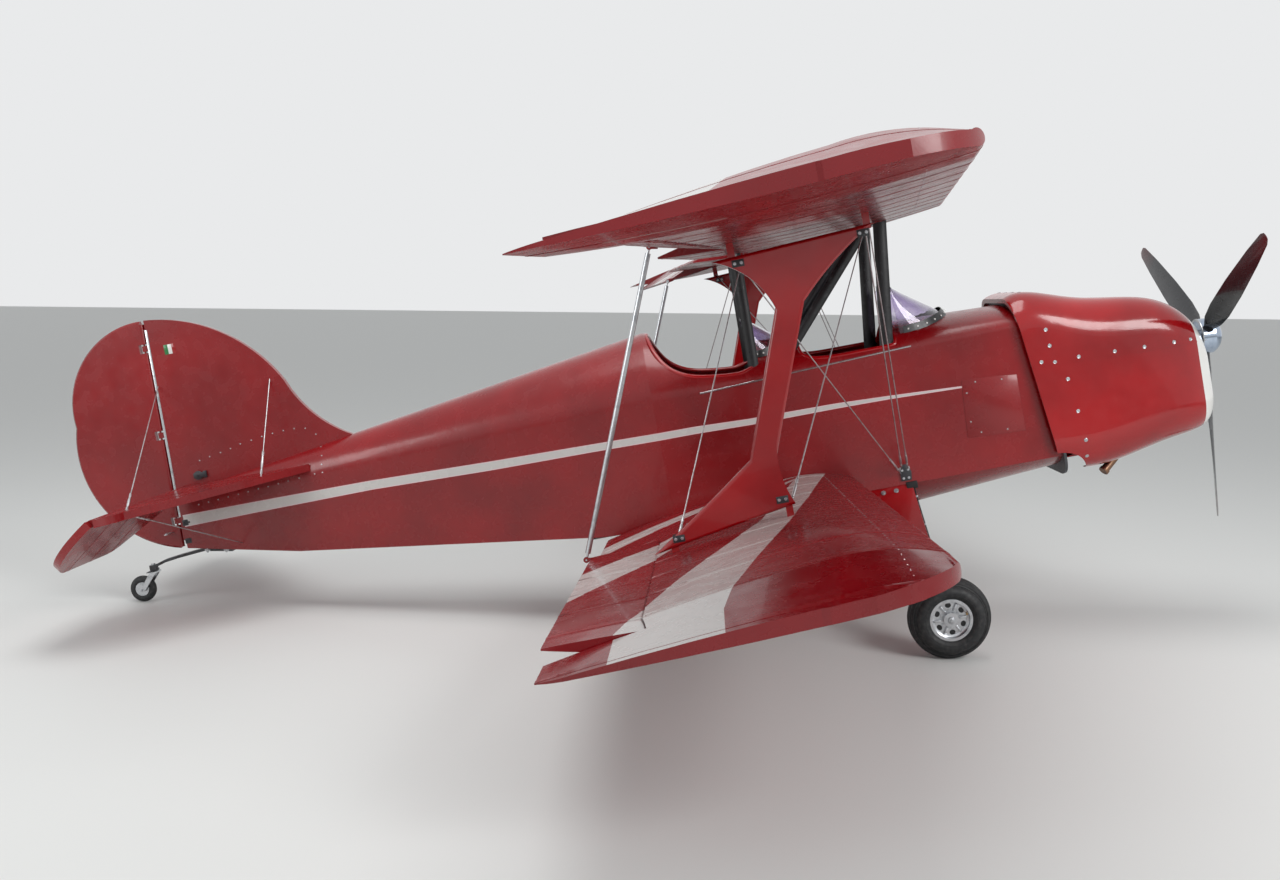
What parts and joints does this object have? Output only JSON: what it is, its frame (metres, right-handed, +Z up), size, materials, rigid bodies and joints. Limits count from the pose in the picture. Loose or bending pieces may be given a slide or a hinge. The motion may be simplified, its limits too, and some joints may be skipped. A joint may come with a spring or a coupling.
{
  "type": "two-seat ultralight biplane",
  "caption": "Two-seat tail-wheel biplane with open cockpits, staggered wings, one interplane strut a side and a three-blade propeller, parked on its gear.",
  "frame": {"origin": "middle of the footprint on the floor, under the middle of the overall length and width", "axes": "+X towards the nose, +Y to port, +Z up; the aeroplane stands on its wheels with its nose up about 11.5 degrees"},
  "size_m": [5.6372, 6.49, 2.0726],
  "materials": {
    "black_strut": "black satin paint on streamlined tube",
    "blade": "black composite, semi-gloss",
    "bright_metal": "bright aluminium, lightly brushed",
    "engine": "dark cast metal",
    "exhaust": "heat-stained steel",
    "panel": "dark matt panel",
    "red_fabric": "deep red gloss paint over fabric covering",
    "red_shell": "deep red gloss paint on sheet and moulded panels",
    "seat": "dark woven fabric",
    "spring_steel": "dark painted spring steel",
    "steel_wire": "stainless steel cable",
    "tyre": "black rubber, worn satin",
    "white_shell": "white gloss paint",
    "window": "clear acrylic with a violet tint"
  },
  "bodies": {
    "airframe": {"belly": "red_shell", "cabane_struts": "black_strut", "cockpit_sides": "red_fabric", "engine_block": "engine", "engine_cowl": "red_shell", "exhaust_pipe": "exhaust", "fin": "red_fabric", "firewall": "bright_metal", "front_panel": "panel", "front_seat": "seat", "front_windscreen": "window", "gear_leg_left": "red_shell", "gear_leg_right": "red_shell", "interplane_strut_left": "red_shell", "interplane_strut_right": "red_shell", "lower_wing_left": "red_fabric", "lower_wing_right": "red_fabric", "nose_ring": "white_shell", "rear_panel": "panel", "rear_seat": "seat", "rear_windscreen": "window", "shock_strut_left": "black_strut", "shock_strut_right": "black_strut", "stabiliser_left": "red_fabric", "stabiliser_right": "red_fabric", "tail_section": "red_fabric", "tail_spring": "spring_steel", "tail_wires_left": "steel_wire", "tail_wires_right": "steel_wire", "tie_down_left": "bright_metal", "tie_down_right": "bright_metal", "top_deck": "red_shell", "upper_centre": "red_fabric", "upper_wing_left": "red_fabric", "upper_wing_right": "red_fabric", "wires_left": "steel_wire", "wires_right": "steel_wire"},
    "propeller": {"propeller": "blade", "spinner": "bright_metal"},
    "tail_fork": {"tail_fork": "bright_metal"},
    "tail_wheel": {"tail_tyre": "tyre", "tail_hub": "bright_metal"},
    "rudder": {"rudder": "red_fabric"},
    "elevator": {"elevator": "red_fabric"},
    "wheel_right": {"main_tyre_right": "tyre", "main_rim_right": "bright_metal"},
    "lower_aileron_right": {"lower_aileron_right": "red_fabric"},
    "upper_aileron_right": {"upper_aileron_right": "red_fabric"},
    "slave_right": {"slave_strut_right": "bright_metal"},
    "wheel_left": {"main_tyre_left": "tyre", "main_rim_left": "bright_metal"},
    "lower_aileron_left": {"lower_aileron_left": "red_fabric"},
    "upper_aileron_left": {"upper_aileron_left": "red_fabric"},
    "slave_left": {"slave_strut_left": "bright_metal"}
  },
  "joints": [
    {"name": "propeller_spin", "type": "hinge", "parent": "airframe", "child": "propeller", "pos_m": [2.70025, 0, 1.39474], "axis": [0.9914, 0, 0.1307], "continuous": true},
    {"name": "wheel_spin_right", "type": "hinge", "parent": "airframe", "child": "wheel_right", "pos_m": [1.39045, -0.75, 0.179], "axis": [0, 1, 0], "continuous": true},
    {"name": "wheel_spin_left", "type": "hinge", "parent": "airframe", "child": "wheel_left", "pos_m": [1.39045, 0.75, 0.179], "axis": [0, 1, 0], "continuous": true},
    {"name": "tail_steer", "type": "hinge", "parent": "airframe", "child": "tail_fork", "pos_m": [-2.42983, 0, 0.15641], "axis": [-0.1995, 0, 0.9799], "range_deg": [-30, 30]},
    {"name": "tail_wheel_spin", "type": "hinge", "parent": "tail_fork", "child": "tail_wheel", "pos_m": [-2.48796, 0, 0.066], "axis": [0, 1, 0], "continuous": true},
    {"name": "rudder_hinge", "type": "hinge", "parent": "airframe", "child": "rudder", "pos_m": [-2.28728, 0, 0.2783], "axis": [-0.1582, 0, 0.9874], "range_deg": [-25, 25]},
    {"name": "elevator_hinge", "type": "hinge", "parent": "airframe", "child": "elevator", "pos_m": [-2.26359, 0, 0.57295], "axis": [0, 1, 0], "range_deg": [0, 60]},
    {"name": "lower_aileron_right_hinge", "type": "hinge", "parent": "airframe", "child": "lower_aileron_right", "pos_m": [0.13084, -1.15, 0.5182], "axis": [0.0084, 0.9991, -0.041], "range_deg": [-32, 12]},
    {"name": "upper_aileron_right_hinge", "type": "hinge", "parent": "airframe", "child": "upper_aileron_right", "pos_m": [0.37586, -1.15, 1.77548], "axis": [0.1516, 0.988, 0.0309], "range_deg": [-32, 12]},
    {"name": "slave_right_pivot", "type": "hinge", "parent": "lower_aileron_right", "child": "slave_right", "pos_m": [-0.156, -1.1879, 0.48962], "axis": [0.0084, 0.9991, -0.041], "range_deg": [-12, 32]},
    {"name": "lower_aileron_left_hinge", "type": "hinge", "parent": "airframe", "child": "lower_aileron_left", "pos_m": [0.13084, 1.15, 0.5182], "axis": [-0.0084, 0.9991, 0.041], "range_deg": [-12, 32]},
    {"name": "upper_aileron_left_hinge", "type": "hinge", "parent": "airframe", "child": "upper_aileron_left", "pos_m": [0.37586, 1.15, 1.77548], "axis": [-0.1516, 0.988, -0.0309], "range_deg": [-12, 32]},
    {"name": "slave_left_pivot", "type": "hinge", "parent": "lower_aileron_left", "child": "slave_left", "pos_m": [-0.12843, 1.19207, 0.39353], "axis": [-0.0084, 0.9991, 0.041], "range_deg": [-32, 12]}
  ],
  "couplings": [
    {"joint": "upper_aileron_right_hinge", "follows": "lower_aileron_right_hinge", "ratio": 1},
    {"joint": "slave_right_pivot", "follows": "lower_aileron_right_hinge", "ratio": -1},
    {"joint": "lower_aileron_left_hinge", "follows": "lower_aileron_right_hinge", "ratio": -1},
    {"joint": "upper_aileron_left_hinge", "follows": "lower_aileron_right_hinge", "ratio": -1},
    {"joint": "slave_left_pivot", "follows": "lower_aileron_right_hinge", "ratio": 1}
  ]
}
